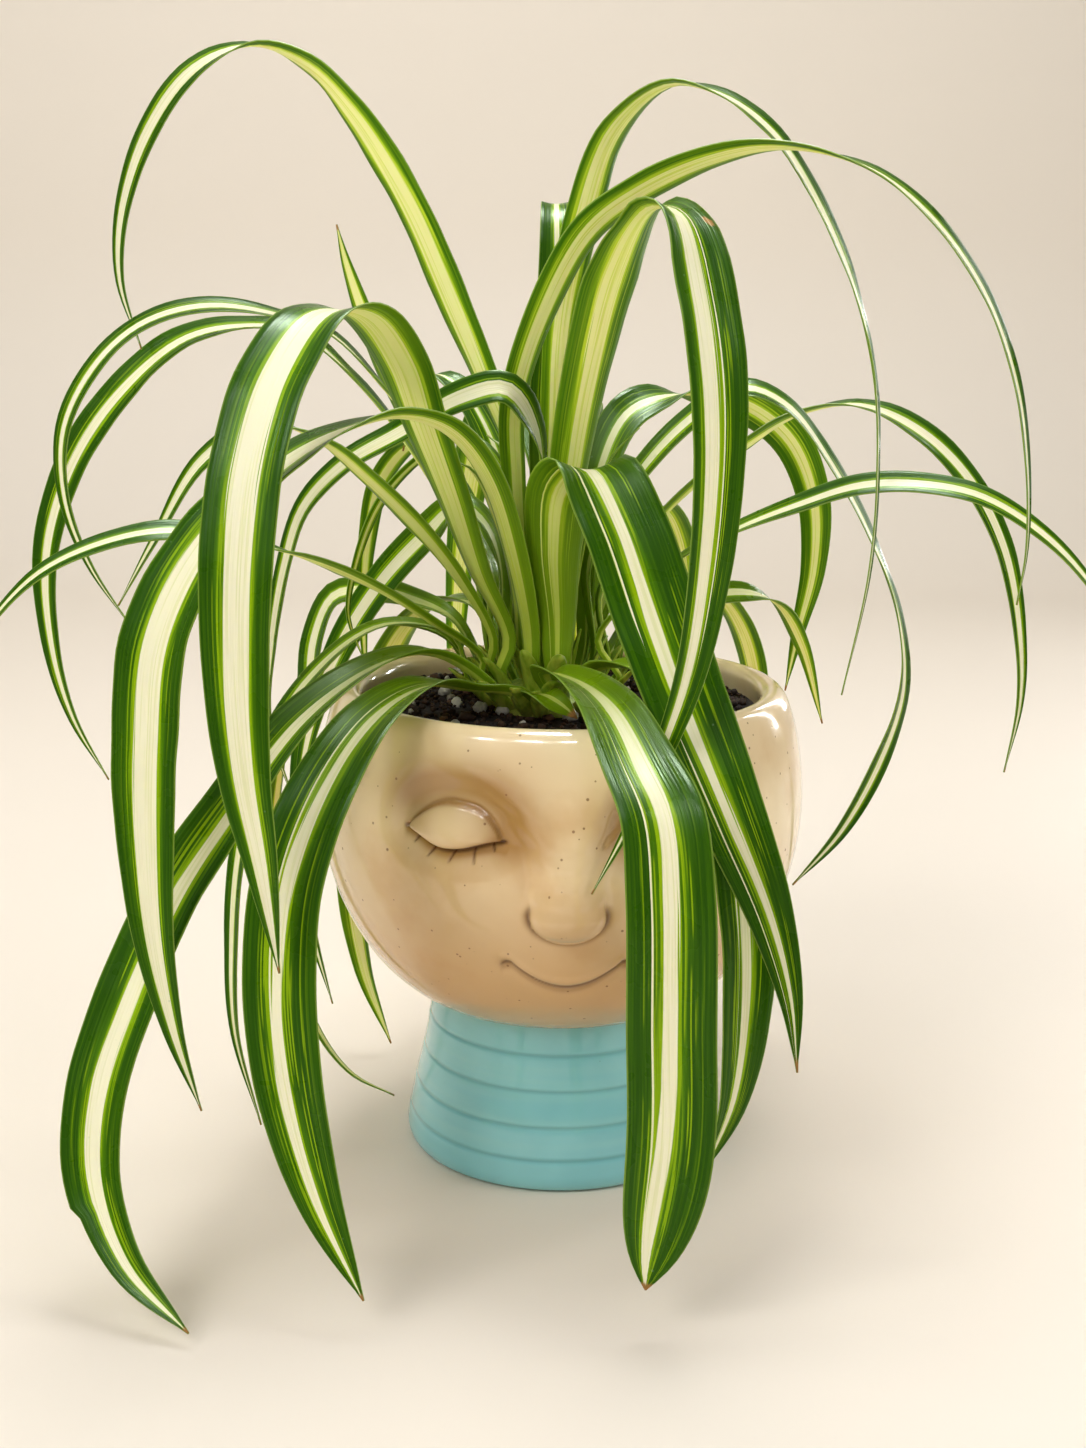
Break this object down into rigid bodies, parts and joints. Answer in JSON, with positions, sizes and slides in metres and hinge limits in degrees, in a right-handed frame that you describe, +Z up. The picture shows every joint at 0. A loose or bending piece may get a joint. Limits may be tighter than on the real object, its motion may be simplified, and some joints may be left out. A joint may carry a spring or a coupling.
{
  "type": "potted spider plant",
  "caption": "Variegated spider plant with long arching striped leaves, growing in soil in a glazed ceramic bowl with a sleeping face on a ringed neck.",
  "frame": {"origin": "centre of the neck's flat underside, on the table", "axes": "+Z up, the face looks to -Y, +X to the right of a viewer who faces it"},
  "size_m": [0.3433, 0.2762, 0.3433],
  "materials": {
    "turquoise_glaze": "turquoise gloss glaze over soft thrown rings",
    "cream_glaze": "cream gloss glaze pooling to tan in the recesses, with fine brown speckles",
    "soil": "dark peat and bark potting mix with white perlite",
    "crown": "pale green leaf bases",
    "leaf": "smooth green blade with a cream centre stripe, half gloss"
  },
  "bodies": {
    "root": {"neck_base": "turquoise_glaze", "head_pot": "cream_glaze", "soil": "soil", "crown": "crown", "leaf_front_left_low": "leaf", "leaf_front_left": "leaf", "leaf_front_centre": "leaf", "leaf_front_stub": "leaf", "leaf_front_right_low": "leaf", "leaf_front_right": "leaf", "leaf_left_broad": "leaf", "leaf_left_long": "leaf", "leaf_left_reach": "leaf", "leaf_left_olive": "leaf", "leaf_left_high": "leaf", "leaf_left_high_outer": "leaf", "leaf_left_tallest": "leaf", "leaf_left_thin": "leaf", "leaf_left_wisp": "leaf", "leaf_left_inside": "leaf", "leaf_left_rear": "leaf", "leaf_left_drop": "leaf", "leaf_left_hook": "leaf", "leaf_left_pointed": "leaf", "leaf_back_left_low": "leaf", "leaf_back_curl": "leaf", "leaf_back_left": "leaf", "leaf_back_upright": "leaf", "leaf_back_long": "leaf", "leaf_back_left_high": "leaf", "leaf_back_right": "leaf", "leaf_back_right_low": "leaf", "leaf_back_low": "leaf", "leaf_back_tall": "leaf", "leaf_right_fold": "leaf", "leaf_right_tallest": "leaf", "leaf_right_arch": "leaf", "leaf_right_mid": "leaf", "leaf_right_high": "leaf", "leaf_right_reach": "leaf", "leaf_right_rear": "leaf", "leaf_right_small": "leaf", "leaf_young_left": "leaf", "leaf_young_back": "leaf", "leaf_young_right": "leaf"}
  },
  "joints": []
}
